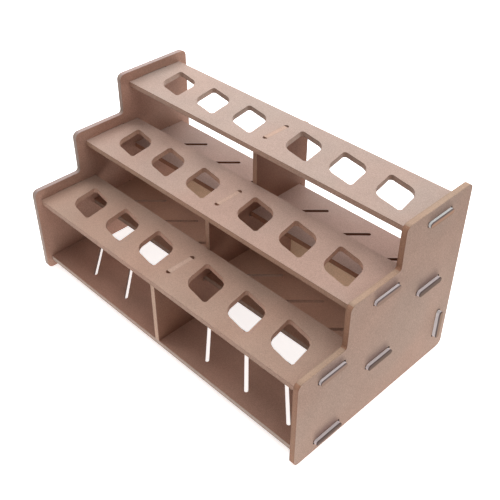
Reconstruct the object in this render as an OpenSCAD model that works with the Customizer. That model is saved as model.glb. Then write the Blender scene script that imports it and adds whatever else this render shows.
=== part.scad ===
// Tiered workstation organizer: ten flat boards joined by tabs and slots
// Origin: middle of the footprint, on the table. X length, Y front to back, Z up. Millimetres.

/* [Overall] */
// Length over the outer faces of the two sides
body_length = 300; // [280:1:400]
// Depth of a side, front edge to rear edge
side_depth = 170.4; // [168:0.2:200]
// Thickness of every board
board = 4.4; // [3:0.1:5]

/* [Side steps] */
// Height of the lowest step of a side
low_step_height = 80.8; // [78:0.2:84]
// Height of the topmost step of a side
top_step_height = 152.8; // [150:0.2:180]
// Front edge of a side to its first riser
first_riser = 46.4; // [40:0.2:50]
// Radius on the outward corners of a side
side_corner = 5; // [0.5:0.5:6]
// Radius in the inward corners of a side
step_corner = 3; // [0.4:0.2:4]

/* [Tiers] */
// Height gained from one tier to the next
tier_rise = 36.5; // [34:0.1:39]
// Rear edge of the top boards to the rear of the sides
rear_setback = 8.4; // [6:0.1:12]
// Shelves and floors stand back from the front edge by this much
board_setback = 5; // [3:0.1:6]
// Upper face of the bottom floor above the table
floor_level = 11.6; // [10:0.1:14]
// Upper face of the low shelf above the table
shelf_level = 71.4; // [70:0.1:74]
// Front to back size of every shelf and floor
board_depth = 55.6; // [52:0.2:57]
// Radius on the corners of shelves, floors and rail
board_corner = 0.6; // [0.2:0.1:1]

/* [Holes] */
// Front edge of a shelf to the middle of its holes
hole_setback = 27.8; // [24:0.1:30]
// Middle of the length to the first hole
first_hole = 28.8; // [27:0.1:30]
// From one hole to the next
hole_pitch = 42.2; // [40:0.1:44]
// Least board between the last hole of a row and a side. The row has as many holes as this leaves room for.
end_room = 10; // [4:0.5:15]
// Diameter of the round middle of a hole
hole_round = 26.6; // [20:0.2:27]
// Width of a hole over its two pointed corners
hole_span = 31.2; // [29:0.2:32]
// Radius at the pointed corners
hole_tip = 2.4; // [1:0.1:4]

/* [Slits] */
// Slanted slit in the floors, end to end
slit_length = 44.8; // [30:0.2:50]
// Width of a slit
slit_width = 3; // [2:0.1:5]
// Slant of a slit to the length
slit_slant = 45; // [35:1:55]

/* [Tabs and slots] */
// Length of every tab over its round ends
tab_length = 26; // [18:0.2:27.4]
// Play between each end of a tab and the end of its slot
slot_play = 0.7; // [0.4:0.1:1]
// Gap above a lying board in its slot, and in front of the rail in its own
slot_slack = 0.4; // [0.1:0.1:0.6]
// Radius in the corners of a slot in a side
slot_corner = 1.2; // [0.4:0.1:1.8]
// How far the tabs of the shelves stand proud of a side
shelf_tab_proud = 2.4; // [0.5:0.1:4]
// How far the tabs of the floors stand proud of a side
floor_tab_proud = 3; // [0.5:0.1:4]
// How far the tabs of the rail stand proud of a side
rail_tab_proud = 3.6; // [0.5:0.1:4]
// Radius on the ends of a tab, as a share of the board
tab_round_share = 0.52; // [0.51:0.01:0.54]
// Gap between the end of a board and the inner face of a side
shoulder_gap = 0.2; // [0.1:0.1:0.5]
// Room in front of and behind a board where it passes the divider
pass_room = 2.6; // [1:0.1:3]
// Radius at the ends of the passages in the divider
pass_corner = 0.8; // [0.2:0.1:1.5]

/* [Divider] */
// Gap between the rear edge of a lower board and the riser behind it
riser_gap = 0.4; // [0.2:0.1:1]
// Rear edge of the divider stands in from the rear of the sides
divider_inset = 0.8; // [0:0.1:2]
// Radius on the corners of the divider
divider_corner = 1.6; // [0.2:0.1:2]

/* [Back rail] */
// Rear face of the rail stands in from the rear of the sides
rail_inset = 11.1; // [8:0.1:20]
// Underside of the rail above the table
rail_bottom = 7.7; // [5:0.1:12]
// Height of the rail
rail_height = 45.6; // [40:0.2:56]

/* [Hidden] */
$fn = 64;
cut_over = 1;
half = 1 / 2;
side_turn = 90;
board_colour = [0.76, 0.64, 0.58];
side_colour = [0.68, 0.56, 0.50];
divider_colour = [0.66, 0.53, 0.46];
floor_colour = [0.72, 0.60, 0.54];

front_y = -side_depth * half;
side_x = body_length * half;
inner_x = side_x - board;
board_end = inner_x - shoulder_gap;
board_span = board_end + board_end;
shelf_tip = side_x + shelf_tab_proud;
floor_tip = side_x + floor_tab_proud;
rail_tip = side_x + rail_tab_proud;
tab_start = board_end - board_corner;
tab_round = board * tab_round_share;
tab_turns = [0, 180];
arc_inset = 0.03;
slot_length = tab_length + slot_play + slot_play;
slot_width = board + slot_slack;
blunt_tab = slot_length - board - slot_play;

tier_run = (side_depth - board_setback - board_depth - rear_setback) * half;
tier_front = [for (tier = [0 : 2]) board_setback + tier * tier_run];
shelf_top = [for (tier = [0 : 2]) shelf_level + tier * tier_rise];
floor_top = [for (tier = [0 : 2]) floor_level + tier * tier_rise];
tier_middle = [for (tier = [0 : 2]) tier_front[tier] + board_depth * half];
step_top = [low_step_height, low_step_height + tier_rise, top_step_height];
side_riser = [first_riser, first_riser + tier_run];
rail_front = side_depth - rail_inset - board;
rail_middle = rail_bottom + rail_height * half;
divider_riser = [for (tier = [0 : 1]) tier_front[tier] + board_depth + riser_gap];
divider_rear = side_depth - divider_inset;
tip_directions = [135, 315];
flank_inset = 0.1;
row_room = inner_x - end_room - hole_span * half - first_hole;
last_step = floor(row_room / hole_pitch);
hole_places = [for (side = [-1, 1]) for (step = [0 : last_step]) side * (first_hole + step * hole_pitch)];

low = 0;
middle = 1;
top = 2;
first = 0;
second = 1;

// Flat outlines. Every radius is an arc.

// A board outline from one corner, with rounded corners
module round_plate(width, depth, radius) {
    translate([radius, 0]) square([width - radius - radius, depth]);
    translate([0, radius]) square([width, depth - radius - radius]);
    for (x = [radius, width - radius]) for (y = [radius, depth - radius])
        translate([x, y]) circle(r = radius);
}

// A slit or slot with round ends, centred, along X
module round_slot(length, width) {
    straight = length - width;
    square([straight, width], center = true);
    for (end = [-half, half]) translate([end * straight, 0]) circle(d = width);
}

// Takes the sharp point off an outward corner. The corner is at the origin, the board lies at +X and +Y.
module corner_waste(radius) {
    difference() {
        translate([-cut_over, -cut_over]) square(radius + cut_over);
        translate([radius, radius]) circle(r = radius);
    }
}

// Fills an inward corner with a radius. The corner is at the origin, the open quarter lies at -X and +Y.
module corner_fill(radius) {
    difference() {
        translate([-radius, 0]) square(radius);
        translate([-radius, radius]) circle(r = radius);
    }
}

// A hole: a round middle with two pointed corners, rear left and front right.
// The straight flanks lie just inside the common tangent of the two arcs, so that they cut both cleanly.
module leaf_hole() {
    round_radius = hole_round * half;
    tip_offset = hole_span * half - hole_tip;
    tip_distance = tip_offset * sqrt(2);
    lean = acos((round_radius - hole_tip) / tip_distance);
    near = round_radius - flank_inset;
    far = hole_tip - flank_inset;
    circle(r = round_radius);
    for (direction = tip_directions) rotate(direction) {
        translate([tip_distance, 0]) circle(r = hole_tip);
        polygon([
            [near * cos(lean), near * sin(lean)],
            [near * cos(lean), -near * sin(lean)],
            [tip_distance + far * cos(lean), -far * sin(lean)],
            [tip_distance + far * cos(lean), far * sin(lean)]
        ]);
    }
}

// What comes off the corner of a tab. The corner is at the origin, the tab lies at +X and +Y.
// The arc reaches just past both faces, so that it cuts them cleanly.
module tab_corner() {
    centre = tab_round - arc_inset;
    difference() {
        translate([-cut_over, -cut_over]) square(centre + cut_over);
        translate([centre, centre]) circle(r = tab_round);
    }
}

// Takes the corners off the ends of both tabs of a board, outside the inner faces of the sides
module tab_wastes(tip, y, z, turn) {
    run = tip - inner_x + cut_over;
    for (side = [-1, 1])
        translate([side * (inner_x + run * half), y, z]) rotate([side_turn, 0, side_turn])
            linear_extrude(height = run, center = true)
                for (tab_turn = tab_turns) rotate(turn + tab_turn) {
                    translate([-tab_length * half, -board * half]) tab_corner();
                    mirror([0, 1]) translate([-tab_length * half, -board * half]) tab_corner();
                }
}

// Boards that lie flat

// A shelf or floor blank with a tab at each end
module flat_blank(tier, tip) {
    translate([-board_end, tier_front[tier]]) round_plate(board_span, board_depth, board_corner);
    for (side = [-1, 1])
        translate([side * (tab_start + tip) * half, tier_middle[tier]])
            square([tip - tab_start, tab_length], center = true);
}

// Lays the flat outline of a tier down with its upper face at the given level, and rounds its tabs
module lay_board(tier, level, tip) {
    difference() {
        translate([0, front_y, level - board]) linear_extrude(height = board) children();
        tab_wastes(tip, front_y + tier_middle[tier], level - board * half, 0);
    }
}

module divider_slot(tier) {
    translate([0, tier_middle[tier]]) rotate(side_turn) round_slot(slot_length, board);
}

module shelf(tier) {
    lay_board(tier, shelf_top[tier], shelf_tip) difference() {
        flat_blank(tier, shelf_tip);
        for (x = hole_places) translate([x, tier_front[tier] + hole_setback]) leaf_hole();
        divider_slot(tier);
    }
}

// Slits lean to the left in the bottom floor and to the right in the other two
module slits(tier, lean) {
    for (x = hole_places)
        translate([x, tier_middle[tier]]) rotate(lean * slit_slant) round_slot(slit_length, slit_width);
}

module tier_floor(tier, lean) {
    lay_board(tier, floor_top[tier], floor_tip) difference() {
        flat_blank(tier, floor_tip);
        slits(tier, lean);
        if (tier == low) divider_slot(tier);
    }
}

// Boards that stand on edge, drawn in their own plane: first coordinate is Y, second is Z

module side_outline() {
    difference() {
        union() {
            square([side_depth, step_top[low]]);
            translate([side_riser[first], 0]) square([side_depth - side_riser[first], step_top[middle]]);
            translate([side_riser[second], 0]) square([side_depth - side_riser[second], step_top[top]]);
            translate([side_riser[first], step_top[low]]) corner_fill(step_corner);
            translate([side_riser[second], step_top[middle]]) corner_fill(step_corner);
        }
        corner_waste(side_corner);
        translate([side_depth, 0]) mirror([1, 0]) corner_waste(side_corner);
        translate([0, step_top[low]]) mirror([0, 1]) corner_waste(side_corner);
        translate([side_riser[first], step_top[middle]]) mirror([0, 1]) corner_waste(side_corner);
        translate([side_riser[second], step_top[top]]) mirror([0, 1]) corner_waste(side_corner);
        translate([side_depth, step_top[top]]) mirror([0, 1]) mirror([1, 0]) corner_waste(side_corner);
    }
}

// The lower flat of a slot carries its board. The rail bears on the rear flat of its own.
module side_slots() {
    for (tier = [low, middle, top]) for (level = [shelf_top[tier], floor_top[tier]])
        translate([tier_middle[tier] - slot_length * half, level - board])
            round_plate(slot_length, slot_width, slot_corner);
    translate([rail_front - slot_slack, rail_middle - slot_length * half])
        round_plate(slot_width, slot_length, slot_corner);
}

// Stands a flat outline up across the length, its middle at the given X
module stand_across(x) {
    translate([x - board * half, front_y, 0])
        rotate([side_turn, 0, side_turn]) linear_extrude(height = board) children();
}

module side_board(x) {
    stand_across(x) difference() {
        side_outline();
        side_slots();
    }
}

// Passage through the divider for a flat board, with rounded ends
module pass_through(front, level, depth, height) {
    translate([front, level]) round_plate(depth, height, pass_corner);
}

module divider_outline() {
    shelf_under = [for (level = shelf_top) level - board];
    floor_under = [for (level = floor_top) level - board];
    foot_front = divider_riser[first];
    difference() {
        union() {
            translate([board_setback, floor_level])
                square([divider_rear - board_setback, shelf_under[low] - floor_level]);
            translate([foot_front, 0]) square([divider_rear - foot_front, shelf_under[middle]]);
            translate([divider_riser[second], 0])
                square([divider_rear - divider_riser[second], shelf_under[top]]);
            for (tier = [low, middle, top])
                translate([tier_middle[tier] - blunt_tab * half, shelf_under[tier] - cut_over])
                    square([blunt_tab, board + cut_over]);
            translate([tier_middle[low] - blunt_tab * half, floor_under[low]])
                square([blunt_tab, board + cut_over]);
        }
        translate([divider_rear, 0]) mirror([1, 0]) corner_waste(divider_corner);
        translate([divider_rear, shelf_under[top]]) mirror([0, 1]) mirror([1, 0])
            corner_waste(divider_corner);
        for (tier = [middle, top])
            pass_through(tier_front[tier] - pass_room, floor_under[tier],
                         board_depth + pass_room + pass_room, board);
        pass_through(rail_front, rail_bottom - pass_room, board, rail_height + pass_room + pass_room);
    }
}

module left_side() { color(side_colour) side_board(-side_x + board * half); }
module right_side() { color(side_colour) side_board(side_x - board * half); }
module centre_divider() { color(divider_colour) stand_across(0) divider_outline(); }
module low_shelf() { color(board_colour) shelf(low); }
module middle_shelf() { color(board_colour) shelf(middle); }
module top_shelf() { color(board_colour) shelf(top); }
module bottom_floor() { color(floor_colour) tier_floor(low, -1); }
module middle_floor() { color(floor_colour) tier_floor(middle, 1); }
module top_floor() { color(floor_colour) tier_floor(top, 1); }

// Upright strip across the back, with a tab at each end
module back_rail() {
    color(floor_colour) difference() {
        translate([0, front_y + rail_front + board, 0]) rotate([side_turn, 0, 0])
            linear_extrude(height = board) {
                translate([-board_end, rail_bottom]) round_plate(board_span, rail_height, board_corner);
                for (side = [-1, 1])
                    translate([side * (tab_start + rail_tip) * half, rail_middle])
                        square([rail_tip - tab_start, tab_length], center = true);
            }
        tab_wastes(rail_tip, front_y + rail_front + board * half, rail_middle, side_turn);
    }
}

left_side();
right_side();
centre_divider();
low_shelf();
middle_shelf();
top_shelf();
bottom_floor();
middle_floor();
top_floor();
back_rail();
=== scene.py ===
import math

import bmesh
import bpy
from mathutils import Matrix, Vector


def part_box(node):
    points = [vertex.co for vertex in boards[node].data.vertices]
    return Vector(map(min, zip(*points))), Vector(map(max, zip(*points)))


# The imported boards, and the box they fill before anything is dressed
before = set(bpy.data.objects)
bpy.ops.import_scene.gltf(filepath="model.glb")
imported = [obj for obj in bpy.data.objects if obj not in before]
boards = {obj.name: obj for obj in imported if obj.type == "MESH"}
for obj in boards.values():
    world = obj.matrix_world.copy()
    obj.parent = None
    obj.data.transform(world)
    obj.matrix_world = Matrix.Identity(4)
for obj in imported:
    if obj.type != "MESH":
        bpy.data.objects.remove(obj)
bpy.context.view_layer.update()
print("boards loaded:", len(boards))


# Small helpers for shader trees
def addNode(tree, kind, x, y, **settings):
    node = tree.nodes.new(kind)
    node.location = (x, y)
    for name, value in settings.items():
        setattr(node, name, value)
    return node


# Links one socket to another, or sets a value on it. A tuple is a colour without its alpha.
def feed(tree, socket, value):
    if isinstance(value, bpy.types.NodeSocket):
        tree.links.new(value, socket)
    elif isinstance(value, tuple):
        socket.default_value = value + (1,)
    else:
        socket.default_value = value


def addMath(tree, kind, x, y, first, second=0, clamp=False):
    node = addNode(tree, "ShaderNodeMath", x, y, operation=kind, use_clamp=clamp)
    feed(tree, node.inputs[0], first)
    feed(tree, node.inputs[1], second)
    return node.outputs[0]


def addVector(tree, kind, x, y, first, second=None):
    node = addNode(tree, "ShaderNodeVectorMath", x, y, operation=kind)
    feed(tree, node.inputs[0], first)
    if second is not None:
        feed(tree, node.inputs[1], second)
    return node.outputs["Value" if kind == "LENGTH" else "Vector"]


# The colour sockets of a Mix node are inputs 6 and 7 and output 2
def addMix(tree, x, y, factor, first, second, blend="MIX"):
    node = addNode(tree, "ShaderNodeMix", x, y, data_type="RGBA", blend_type=blend)
    for index, value in ((0, factor), (6, first), (7, second)):
        feed(tree, node.inputs[index], value)
    return node.outputs[2]


def addRange(tree, x, y, value, fromSpan, toSpan=(0, 1)):
    node = addNode(tree, "ShaderNodeMapRange", x, y, interpolation_type="SMOOTHSTEP")
    feed(tree, node.inputs[0], value)
    for socket, number in zip(node.inputs[1:5], (*fromSpan, *toSpan)):
        socket.default_value = number
    return node.outputs[0]


def addNoise(tree, x, y, place, scale, detail, roughness=0.5):
    node = addNode(tree, "ShaderNodeTexNoise", x, y)
    feed(tree, node.inputs["Vector"], place)
    for label, value in (("Scale", scale), ("Detail", detail), ("Roughness", roughness)):
        node.inputs[label].default_value = value
    return node.outputs["Fac"]


def addParts(tree, x, y, vector):
    node = addNode(tree, "ShaderNodeSeparateXYZ", x, y)
    feed(tree, node.inputs[0], vector)
    return node.outputs


def newGroup(name, inputs, outputs):
    group = bpy.data.node_groups.new(name, "ShaderNodeTree")
    for way, sockets in (("INPUT", inputs), ("OUTPUT", outputs)):
        for label, kind in sockets.items():
            group.interface.new_socket(label, in_out=way, socket_type="NodeSocket" + kind)
    return group, addNode(group, "NodeGroupInput", -900, 0), addNode(group, "NodeGroupOutput", 900, 0)


def useGroup(tree, group, x, y, **values):
    node = addNode(tree, "ShaderNodeGroup", x, y, node_tree=group)
    for label, value in values.items():
        feed(tree, node.inputs[label], value)
    return node.outputs


# Pressed wood fibre: three layers of short fibres, each along another axis, faint clouds and a slow drift
pressedFibre = {
    "turns": ([0.4, 0.28, 0.52], [2.3, 1.61, 2.99], [1.2, 0.84, 1.56]),
    "stretches": ([1, 3.4, 3.4], [3.4, 1, 3.4], [3.4, 3.4, 1]),
    "fibreNoise": (640, 3, 0.6),  # scale, detail, roughness
    "fibreMean": 1.05,
    "cloudNoise": (38, 4),
    "cloudMean": 0.5,
    "driftNoise": (14, 1),
    "driftSpan": (0.35, 0.65),
}


def makeFibreGroup():
    spec = pressedFibre
    group, enter, leave = newGroup(
        "pressedFibre",
        {"Position": "Vector", "Fibre": "Float", "Cloud": "Float"},
        {"Shade": "Float", "Relief": "Float", "Drift": "Float"},
    )
    place = enter.outputs["Position"]
    layers = []
    for index, (turn, stretch) in enumerate(zip(spec["turns"], spec["stretches"])):
        y = 300 - 300 * index
        mapping = addNode(group, "ShaderNodeMapping", -700, y)
        mapping.inputs["Rotation"].default_value = turn
        mapping.inputs["Scale"].default_value = stretch
        feed(group, mapping.inputs["Vector"], place)
        layers.append(addNoise(group, -500, y, mapping.outputs[0], *spec["fibreNoise"]))
    fibres = addMath(group, "MAXIMUM", -300, 200, layers[0], layers[1])
    fibres = addMath(group, "ADD", -150, 100, fibres, layers[2])
    fibres = addMath(group, "SUBTRACT", 0, 100, fibres, spec["fibreMean"])
    clouds = addNoise(group, -500, -600, place, *spec["cloudNoise"])
    clouds = addMath(group, "SUBTRACT", -300, -600, clouds, spec["cloudMean"])
    fibreShare = addMath(group, "MULTIPLY", 200, 100, fibres, enter.outputs["Fibre"])
    cloudShare = addMath(group, "MULTIPLY", 200, -300, clouds, enter.outputs["Cloud"])
    shade = addMath(group, "ADD", 400, 0, fibreShare, cloudShare)
    shade = addMath(group, "ADD", 550, 0, shade, 0.5, clamp=True)
    drift = addNoise(group, -500, -900, place, *spec["driftNoise"])
    drift = addRange(group, -300, -900, drift, spec["driftSpan"])
    feed(group, leave.inputs["Shade"], shade)
    feed(group, leave.inputs["Relief"], fibres)
    feed(group, leave.inputs["Drift"], drift)
    return group


# Cut edge of a board: paler in the middle, a little scorched by each face. Level runs from face to face.
cutEdge = {
    "middle": 0.5,
    "scorchSpan": (0.25, 0.5),
}


def makeCutEdgeGroup():
    group, enter, leave = newGroup(
        "cutEdge",
        {"Level": "Float", "Tone": "Color", "Scorch": "Float"},
        {"Colour": "Color"},
    )
    away = addMath(group, "SUBTRACT", -700, 0, enter.outputs["Level"], cutEdge["middle"])
    away = addMath(group, "ABSOLUTE", -500, 0, away)
    scorched = addRange(group, -300, 0, away, cutEdge["scorchSpan"])
    scorched = addMath(group, "MULTIPLY", -100, 0, scorched, enter.outputs["Scorch"])
    unburnt = addMath(group, "SUBTRACT", 100, 0, 1, scorched)
    colour = addNode(group, "ShaderNodeVectorMath", 400, 0, operation="SCALE")
    feed(group, colour.inputs[0], enter.outputs["Tone"])
    feed(group, colour.inputs["Scale"], unburnt)
    feed(group, leave.inputs["Colour"], colour.outputs[0])
    return group


# Tab: a near-white flat, which is a painted highlight, a dark arris, and an end that fades from the arris to
# a paler lower rim. Run goes from the side's outer face to the tab's end, and Level from its lower face to
# its flat.
tabFinish = {
    "arrisSpan": (0.62, 0.86),
    "rimSpan": (0.3, 0.05),
    "underArrisSpan": (0.6, 0.95),
    "endFacing": 0.7,
}


def makeTabGroup():
    group, enter, leave = newGroup(
        "tabFinish",
        {
            "Run": "Float",
            "Level": "Float",
            "Outward": "Float",
            "Flat": "Color",
            "Arris": "Color",
            "End": "Color",
            "Rim": "Color",
        },
        {"Colour": "Color"},
    )
    arris = enter.outputs["Arris"]
    toArris = addRange(group, -300, 300, enter.outputs["Run"], tabFinish["arrisSpan"])
    flat = addMix(group, 0, 300, toArris, enter.outputs["Flat"], arris)
    toRim = addRange(group, -300, 0, enter.outputs["Level"], tabFinish["rimSpan"])
    end = addMix(group, 0, 0, toRim, enter.outputs["End"], enter.outputs["Rim"])
    underArris = addRange(group, -300, -300, enter.outputs["Level"], tabFinish["underArrisSpan"])
    end = addMix(group, 200, 0, underArris, end, arris)
    onEnd = addMath(group, "GREATER_THAN", 200, -300, enter.outputs["Outward"], tabFinish["endFacing"])
    feed(group, leave.inputs["Colour"], addMix(group, 500, 100, onEnd, flat, end))
    return group


# Leans the normal of a narrow tab towards its end, as its worn arrises do
def makeWornGroup():
    group, enter, leave = newGroup(
        "wornTab",
        {"Normal": "Vector", "Side": "Float", "Lean": "Float"},
        {"Normal": "Vector"},
    )
    outward = addNode(group, "ShaderNodeCombineXYZ", -300, 0)
    lean = addMath(group, "MULTIPLY", -500, 0, enter.outputs["Side"], enter.outputs["Lean"])
    feed(group, outward.inputs[0], lean)
    leaned = addVector(group, "ADD", 0, 0, enter.outputs["Normal"], outward.outputs[0])
    feed(group, leave.inputs["Normal"], addVector(group, "NORMALIZE", 300, 0, leaned))
    return group


# Round a slot: near-black painted shade on its walls, for the shade in the gap round its tab, and painted
# shade on the face, mostly above it, where the tab shades the face
slotShade = {
    "halfLength": 0.0145,
    "halfHeight": 0.0032,
    "through": 1,  # reaches past both faces of the side
    "shadeHalfLength": 0.0085,
    "shadeLean": 0.25,
    "shadeTaper": 1.8,
    "shadeStart": 0.0035,  # above the slot's middle
    "fadeBelow": -5,
    "shadeSpan": (0.001, 0.0115),
    "amount": {"back_rail": 0, "top_shelf": 0.45},  # all of it elsewhere
}


def makeSlotGroup():
    spec = slotShade
    group, enter, leave = newGroup(
        "slotShade",
        {"Position": "Vector", "Middle": "Vector", "Half": "Vector", "Length": "Float", "Amount": "Float"},
        {"Wall": "Float", "PaintedShade": "Float"},
    )
    away = addVector(group, "SUBTRACT", -700, 0, enter.outputs["Position"], enter.outputs["Middle"])
    reach = addVector(group, "ABSOLUTE", -500, 200, away)
    past = addParts(group, -100, 200, addVector(group, "SUBTRACT", -300, 200, reach, enter.outputs["Half"]))
    wall = addMath(group, "MAXIMUM", 100, 200, past[1], past[2])
    feed(group, leave.inputs["Wall"], addMath(group, "LESS_THAN", 300, 200, wall, 0))

    offset = addParts(group, -500, -200, away)
    lean = addMath(group, "MULTIPLY", -450, -100, offset[2], spec["shadeLean"])
    along = addMath(group, "ABSOLUTE", -300, -100, addMath(group, "ADD", -400, -50, offset[1], lean))
    along = addMath(group, "SUBTRACT", -100, -100, along, enter.outputs["Length"])
    along = addMath(group, "MAXIMUM", 0, -100, along, 0)
    along = addMath(group, "MULTIPLY", 100, -100, along, spec["shadeTaper"])
    above = addMath(group, "SUBTRACT", -300, -300, offset[2], spec["shadeStart"])
    below = addMath(group, "MULTIPLY", -100, -400, above, spec["fadeBelow"])
    rise = addMath(group, "MAXIMUM", 100, -300, above, below)
    drawn = addNode(group, "ShaderNodeCombineXYZ", 250, -200)
    feed(group, drawn.inputs[0], along)
    feed(group, drawn.inputs[1], rise)
    distance = addVector(group, "LENGTH", 400, -200, drawn.outputs[0])
    faded = addRange(group, 600, -200, distance, spec["shadeSpan"], (1, 0))
    paintedShade = addMath(group, "MULTIPLY", 750, -200, faded, enter.outputs["Amount"])
    feed(group, leave.inputs["PaintedShade"], paintedShade)
    return group


fibreGroup = makeFibreGroup()
cutEdgeGroup = makeCutEdgeGroup()
tabGroup = makeTabGroup()
wornGroup = makeWornGroup()
slotGroup = makeSlotGroup()

# Finish of the boards
fibreboard = {
    "thickness": 0.0044,
    "roughness": 0.74,
    "gloss": 0.3,
    "fibre": 2.5,
    "cloud": 0.7,
    "light": 1.18,
    "dark": 0.81,
    "relief": 0.00005,
    "scorch": 0.14,
    "tabLean": 1.0,
    "warm": (1.02, 0.985, 0.98),
    "cool": (0.985, 1.01, 1.025),
    # near-black painted shade on the walls of a side's slots, for the shade in the gaps round the tabs
    "slotGapShade": (0.020, 0.013, 0.010),
    # painted shade above a side's slots, where the tabs shade its face
    "paintedShade": (0.64, 0.62, 0.66),
    "facing": 0.5,  # how far a normal turns along an axis for its face to count as looking that way
    "frontDepth": 0.0006,
    "tabStart": 0.0001,  # past the side's outer face
}

# Each board's axis across its thickness, and its tones in linear light: the face that looks along the axis,
# the face that looks against it, the cut edges that look forward, and the other cut edges
# Several tones hold painted light and shade. The floors' upper faces are painted darker and more saturated
# where they sit in shade, and so are the front edges of the middle and top floors, the divider's faces and
# the top floor's slit walls. The rail's front face is painted lighter where light falls on it.
underside = (0.241, 0.145, 0.103)
boardLooks = {
    "left_side": {
        "axis": 0,
        "plus": (0.443, 0.258, 0.192),
        "minus": (0.338, 0.231, 0.180),
        "front": (0.375, 0.277, 0.230),
        "cut": (0.355, 0.259, 0.232),
    },
    "right_side": {
        "axis": 0,
        "plus": (0.442, 0.297, 0.230),
        "minus": (0.290, 0.165, 0.119),
        "front": (0.352, 0.186, 0.117),
        "cut": (0.389, 0.261, 0.185),
    },
    "centre_divider": {
        "axis": 0,
        "plus": (0.271, 0.136, 0.089),
        "minus": (0.234, 0.138, 0.103),
        "front": (0.525, 0.336, 0.243),
        "cut": (0.452, 0.312, 0.242),
    },
    "low_shelf": {
        "axis": 2,
        "plus": (0.375, 0.243, 0.183),
        "minus": underside,
        "front": (0.421, 0.257, 0.188),
        "cut": (0.453, 0.268, 0.195),
    },
    "middle_shelf": {
        "axis": 2,
        "plus": (0.404, 0.276, 0.223),
        "minus": underside,
        "front": (0.451, 0.274, 0.191),
        "cut": (0.538, 0.331, 0.242),
    },
    "top_shelf": {
        "axis": 2,
        "plus": (0.396, 0.293, 0.245),
        "minus": underside,
        "front": (0.505, 0.327, 0.247),
        "cut": (0.482, 0.347, 0.280),
    },
    "bottom_floor": {
        "axis": 2,
        "plus": (0.394, 0.223, 0.164),
        "minus": underside,
        "front": (0.425, 0.314, 0.254),
        "cut": (0.207, 0.117, 0.083),
    },
    "middle_floor": {
        "axis": 2,
        "plus": (0.360, 0.197, 0.132),
        "minus": underside,
        "front": (0.259, 0.166, 0.119),
        "cut": (0.39, 0.25, 0.185),
    },
    "top_floor": {
        "axis": 2,
        "plus": (0.412, 0.277, 0.229),
        "minus": underside,
        "front": (0.345, 0.166, 0.096),
        "cut": (0.141, 0.055, 0.024),
    },
    "back_rail": {
        "axis": 1,
        "plus": (0.345, 0.238, 0.190),
        "minus": (0.557, 0.366, 0.241),
        "front": (0.345, 0.241, 0.186),
        "cut": (0.345, 0.241, 0.186),
    },
}

# Tabs: the flat that looks up, or forward on the rail, near white as a painted highlight, the arris, the end
# and its lower rim
shelfTab = {
    "flat": (0.95, 0.84, 0.85),
    "arris": (0.166, 0.114, 0.103),
    "end": (0.365, 0.226, 0.171),
    "rim": (0.345, 0.228, 0.166),
}
floorTab = {
    "flat": (0.90, 0.78, 0.78),
    "arris": (0.117, 0.072, 0.062),
    "end": (0.138, 0.083, 0.062),
    "rim": (0.276, 0.179, 0.131),
}
tabs = {
    "low_shelf": shelfTab,
    "middle_shelf": shelfTab,
    "top_shelf": {**shelfTab, "flat": (0.97, 0.96, 0.95), "end": (0.486, 0.271, 0.178)},
    "bottom_floor": {**floorTab, "rim": (0.428, 0.338, 0.290)},
    "middle_floor": floorTab,
    "top_floor": {**floorTab, "rim": (0.207, 0.124, 0.090)},
    "back_rail": {**shelfTab, "flat": (0.90, 0.82, 0.82), "end": (0.303, 0.186, 0.124)},
}
sideBoards = ("left_side", "right_side")
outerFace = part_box("right_side")[1][0]


# The slots in a side, from the boards that pass through them: middle, half sizes and amount of painted shade
def slotPlaces():
    places = []
    for name in tabs:
        low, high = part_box(name)
        middle = [0, (low[1] + high[1]) / 2, (low[2] + high[2]) / 2]
        half = [slotShade["through"], slotShade["halfLength"], slotShade["halfHeight"]]
        if name == "back_rail":
            half = [slotShade["through"], slotShade["halfHeight"], slotShade["halfLength"]]
        places.append((middle, half, slotShade["amount"].get(name, 1)))
    return places


# Masks of a side's slot walls and of the painted shade round its slots
def addSlotMarks(tree, place):
    wall = 0
    paintedShade = 0
    for index, (middle, half, amount) in enumerate(slotPlaces()):
        y = -1200 - 250 * index
        marks = useGroup(
            tree, slotGroup, -700, y,
            Position=place, Middle=middle, Half=half, Length=slotShade["shadeHalfLength"], Amount=amount,
        )
        wall = addMath(tree, "MAXIMUM", -400, y, wall, marks["Wall"])
        paintedShade = addMath(tree, "MAXIMUM", -400, y - 100, paintedShade, marks["PaintedShade"])
    return wall, paintedShade


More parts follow.
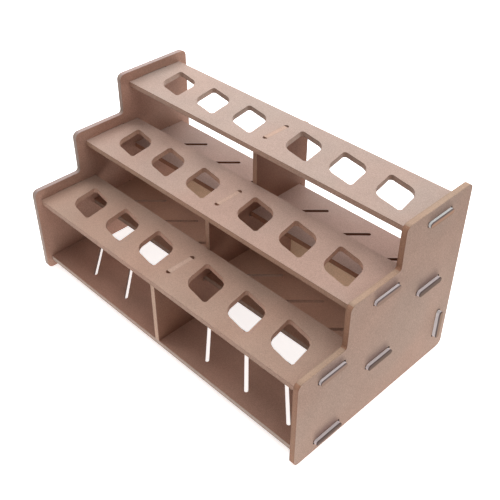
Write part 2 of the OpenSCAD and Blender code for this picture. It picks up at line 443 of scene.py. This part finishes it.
def makeBoardMaterial(name, look):
    spec = fibreboard
    axis = look["axis"]
    low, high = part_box(name)
    material = bpy.data.materials.new(name)
    material.use_nodes = True
    tree = material.node_tree
    tree.nodes.clear()
    output = addNode(tree, "ShaderNodeOutputMaterial", 1500, 0)
    surface = addNode(tree, "ShaderNodeBsdfPrincipled", 1200, 0)
    surface.inputs["Roughness"].default_value = spec["roughness"]
    surface.inputs["Specular IOR Level"].default_value = spec["gloss"]
    feed(tree, output.inputs[0], surface.outputs[0])

    # Where a point lies on the board, and which way it looks
    place = addNode(tree, "ShaderNodeTexCoord", -1300, 0).outputs["Object"]
    spot = addParts(tree, -1100, -600, place)
    trueNormal = addNode(tree, "ShaderNodeNewGeometry", -1300, -300).outputs["True Normal"]
    facing = addParts(tree, -1100, -300, trueNormal)
    onPlus = addMath(tree, "GREATER_THAN", -700, -300, facing[axis], spec["facing"])
    onMinus = addMath(tree, "LESS_THAN", -700, -450, facing[axis], -spec["facing"])

    # From 0 at one face to 1 at the other. The rail's runs from its back to its front.
    upward = -1 if axis == 1 else 1
    level = addMath(tree, "SUBTRACT", -900, -600, spot[axis], (low[axis] + high[axis]) / 2)
    level = addMath(tree, "DIVIDE", -750, -600, level, spec["thickness"] * upward)
    level = addMath(tree, "ADD", -600, -600, level, cutEdge["middle"])

    # Fibres and clouds between a darker and a lighter tone, under a slow drift from warm to cool
    fibre = useGroup(tree, fibreGroup, -900, 200, Position=place, Fibre=spec["fibre"], Cloud=spec["cloud"])
    hue = addMix(tree, -700, 600, fibre["Drift"], spec["warm"], spec["cool"])

    def grained(colour, y):
        dark = tuple(part * spec["dark"] for part in colour)
        light = tuple(part * spec["light"] for part in colour)
        shaded = addMix(tree, -500, y, fibre["Shade"], dark, light)
        return addMix(tree, -300, y, 1, shaded, hue, blend="MULTIPLY")

    # Edges that look forward: every riser of an upright board, but only the front edge of a lying one
    frontLimit = high[1] if axis == 0 else low[1] + spec["frontDepth"]
    lookForward = addMath(tree, "LESS_THAN", -700, -750, facing[1], -spec["facing"])
    near = addMath(tree, "LESS_THAN", -700, -900, spot[1], frontLimit)
    onFront = addMath(tree, "MULTIPLY", -500, -800, lookForward, near)
    edgeTone = addMix(tree, -300, -300, onFront, grained(look["cut"], -200), grained(look["front"], -400))
    edge = useGroup(tree, cutEdgeGroup, -100, -300, Level=level, Tone=edgeTone, Scorch=spec["scorch"])
    colour = edge["Colour"]
    plus = grained(look["plus"], 300)
    minus = grained(look["minus"], 100)

    # The slot walls of a side get near-black painted shade, and only its outer face gets the painted shade
    # above its slots
    if name in sideBoards:
        wall, paintedShade = addSlotMarks(tree, place)
        colour = addMix(tree, 200, -500, wall, colour, spec["slotGapShade"])
        shadeTint = addMix(tree, 0, 500, paintedShade, (1, 1, 1), spec["paintedShade"])
        if name == "right_side":
            plus = addMix(tree, 100, 400, 1, plus, shadeTint, blend="MULTIPLY")
        else:
            minus = addMix(tree, 100, 200, 1, minus, shadeTint, blend="MULTIPLY")
    colour = addMix(tree, 300, 200, onPlus, colour, plus)
    colour = addMix(tree, 450, 200, onMinus, colour, minus)
    bump = addNode(tree, "ShaderNodeBump", 700, -300)
    bump.inputs["Distance"].default_value = spec["relief"]
    feed(tree, bump.inputs["Height"], fibre["Relief"])
    relief = bump.outputs[0]

    # What stands proud of the sides is a tab
    if name in tabs:
        tab = tabs[name]
        reach = addMath(tree, "ABSOLUTE", -300, -900, spot[0])
        run = addMath(tree, "SUBTRACT", -100, -900, reach, outerFace)
        run = addMath(tree, "DIVIDE", 100, -900, run, high[0] - outerFace)
        outward = addMath(tree, "ABSOLUTE", 100, -1050, facing[0])
        beyond = addMath(tree, "GREATER_THAN", 300, -700, reach, outerFace + spec["tabStart"])
        finish = useGroup(
            tree, tabGroup, 300, -900,
            Run=run, Level=level, Outward=outward,
            Flat=tab["flat"], Arris=tab["arris"], End=tab["end"], Rim=tab["rim"],
        )
        colour = addMix(tree, 650, 100, beyond, colour, finish["Colour"])
        side = addMath(tree, "MULTIPLY", 650, -600, spot[0], beyond)
        lean = spec["tabLean"] / outerFace
        relief = useGroup(tree, wornGroup, 850, -500, Normal=relief, Side=side, Lean=lean)["Normal"]

    feed(tree, surface.inputs["Base Color"], colour)
    feed(tree, surface.inputs["Normal"], relief)
    return material


for name, board in boards.items():
    material = makeBoardMaterial(name, boardLooks[name])
    board.data.materials.clear()
    board.data.materials.append(material)
print("boards finished")


# 1 for a ray that shows a surface, straight or in a gloss, and 0 for one that only lights the boards
def addSeenMask(tree, x, y):
    path = addNode(tree, "ShaderNodeLightPath", x, y)
    seen = addMath(tree, "ADD", x + 200, y, path.outputs["Is Camera Ray"], path.outputs["Is Glossy Ray"])
    return addMath(tree, "ADD", x + 300, y, seen, path.outputs["Is Transmission Ray"], clamp=True)


# Table under the organizer. A pool of it lights the boards from below, and all of it looks white.
table = {
    "width": 6,
    "level": -0.0002,
    "colour": (0.86, 0.86, 0.86),
    "poolSpan": (0.20, 0.40),  # metres from the middle
    "poolGlow": (0.93, 0.087),  # inside and outside the pool
    "seenSpan": (0.5, 1.2),
    "seenGlow": (0.76, 0.95),
}


def layTable():
    mesh = bpy.data.meshes.new("tableTop")
    shape = bmesh.new()
    bmesh.ops.create_grid(shape, x_segments=1, y_segments=1, size=table["width"] / 2)
    bmesh.ops.translate(shape, verts=shape.verts, vec=(0, 0, table["level"]))
    shape.to_mesh(mesh)
    shape.free()
    top = bpy.data.objects.new("tableTop", mesh)
    bpy.context.scene.collection.objects.link(top)
    material = bpy.data.materials.new("tableWhite")
    material.use_nodes = True
    tree = material.node_tree
    tree.nodes.clear()
    output = addNode(tree, "ShaderNodeOutputMaterial", 600, 0)
    matt = addNode(tree, "ShaderNodeBsdfDiffuse", 0, 200)
    feed(tree, matt.inputs["Color"], table["colour"])
    place = addNode(tree, "ShaderNodeTexCoord", -800, -400).outputs["Object"]
    distance = addVector(tree, "LENGTH", -600, -400, place)
    pool = addRange(tree, -400, -400, distance, table["poolSpan"], table["poolGlow"])
    glow = addNode(tree, "ShaderNodeEmission", 0, 0)
    feed(tree, glow.inputs["Strength"], pool)
    white = addRange(tree, -400, -600, distance, table["seenSpan"], table["seenGlow"])
    seenGlow = addNode(tree, "ShaderNodeEmission", 0, -200)
    feed(tree, seenGlow.inputs["Strength"], white)
    mix = addNode(tree, "ShaderNodeMixShader", 200, 0)
    feed(tree, mix.inputs[0], addSeenMask(tree, -400, 0))
    feed(tree, mix.inputs[1], glow.outputs[0])
    feed(tree, mix.inputs[2], seenGlow.outputs[0])
    both = addNode(tree, "ShaderNodeAddShader", 400, 0)
    feed(tree, both.inputs[0], matt.outputs[0])
    feed(tree, both.inputs[1], mix.outputs[0])
    feed(tree, output.inputs[0], both.outputs[0])
    mesh.materials.append(material)


layTable()
print("table laid")

# Soft studio light: square lamps round the organizer, aimed at its middle, and a dim world that looks white
studio = {
    "aim": (0, 0, 0.05),
    "lampSize": 1.0,
    "lamps": {
        "overheadLamp": {"place": (0, 0, 1.45), "power": 7.2},
        "rearLamp": {"place": (0, 0.95, 1.1), "power": 7.0},
        "leftLamp": {"place": (-0.95, 0, 1.1), "power": 11.0},
        "frontLeftLamp": {"place": (-0.68, -0.68, 1.1), "power": 1.54},
        "rightLamp": {"place": (0.95, 0, 1.1), "power": 5.94},
        "lowLamp": {"place": (-0.95, 0.95, 0.5), "power": 11.0},
    },
    "worldColour": (1, 1, 1),
    "worldLight": 0.015,
}


def hangLamp(name, place, power):
    light = bpy.data.lights.new(name, "AREA")
    light.shape = "SQUARE"
    light.size = studio["lampSize"]
    light.energy = power
    lamp = bpy.data.objects.new(name, light)
    lamp.location = place
    lamp.rotation_euler = (Vector(studio["aim"]) - Vector(place)).to_track_quat("-Z", "Y").to_euler()
    bpy.context.scene.collection.objects.link(lamp)


def makeWorld():
    world = bpy.data.worlds.new("studio")
    bpy.context.scene.world = world
    world.use_nodes = True
    tree = world.node_tree
    tree.nodes.clear()
    output = addNode(tree, "ShaderNodeOutputWorld", 600, 0)
    mix = addNode(tree, "ShaderNodeMixShader", 400, 0)
    dim = addNode(tree, "ShaderNodeBackground", 100, 100)
    feed(tree, dim.inputs["Color"], studio["worldColour"])
    dim.inputs["Strength"].default_value = studio["worldLight"]
    white = addNode(tree, "ShaderNodeBackground", 100, -100)
    feed(tree, white.inputs["Color"], studio["worldColour"])
    feed(tree, mix.inputs[0], addSeenMask(tree, -300, 0))
    feed(tree, mix.inputs[1], dim.outputs[0])
    feed(tree, mix.inputs[2], white.outputs[0])
    feed(tree, output.inputs[0], mix.outputs[0])


for name, spec in studio["lamps"].items():
    hangLamp(name, spec["place"], spec["power"])
makeWorld()
bpy.context.scene.view_settings.view_transform = "Standard"
print("lights set")

# Camera at the photograph's viewing angle
view = {
    "place": (0.3660941, -0.3445159, 0.4587327),
    "turn": (51.73271, 0.57887, 46.25218),  # degrees
    "sensor": 36,
    "lens": 57.9558,
    "shift": (0.037895, -0.012058),
    "clipStart": 0.01,
}
lens = bpy.data.cameras.new("viewer")
lens.sensor_width = view["sensor"]
lens.lens = view["lens"]
lens.shift_x, lens.shift_y = view["shift"]
lens.clip_start = view["clipStart"]
viewer = bpy.data.objects.new("viewer", lens)
viewer.location = view["place"]
viewer.rotation_euler = [math.radians(angle) for angle in view["turn"]]
bpy.context.scene.collection.objects.link(viewer)
bpy.context.scene.camera = viewer
print("camera set")
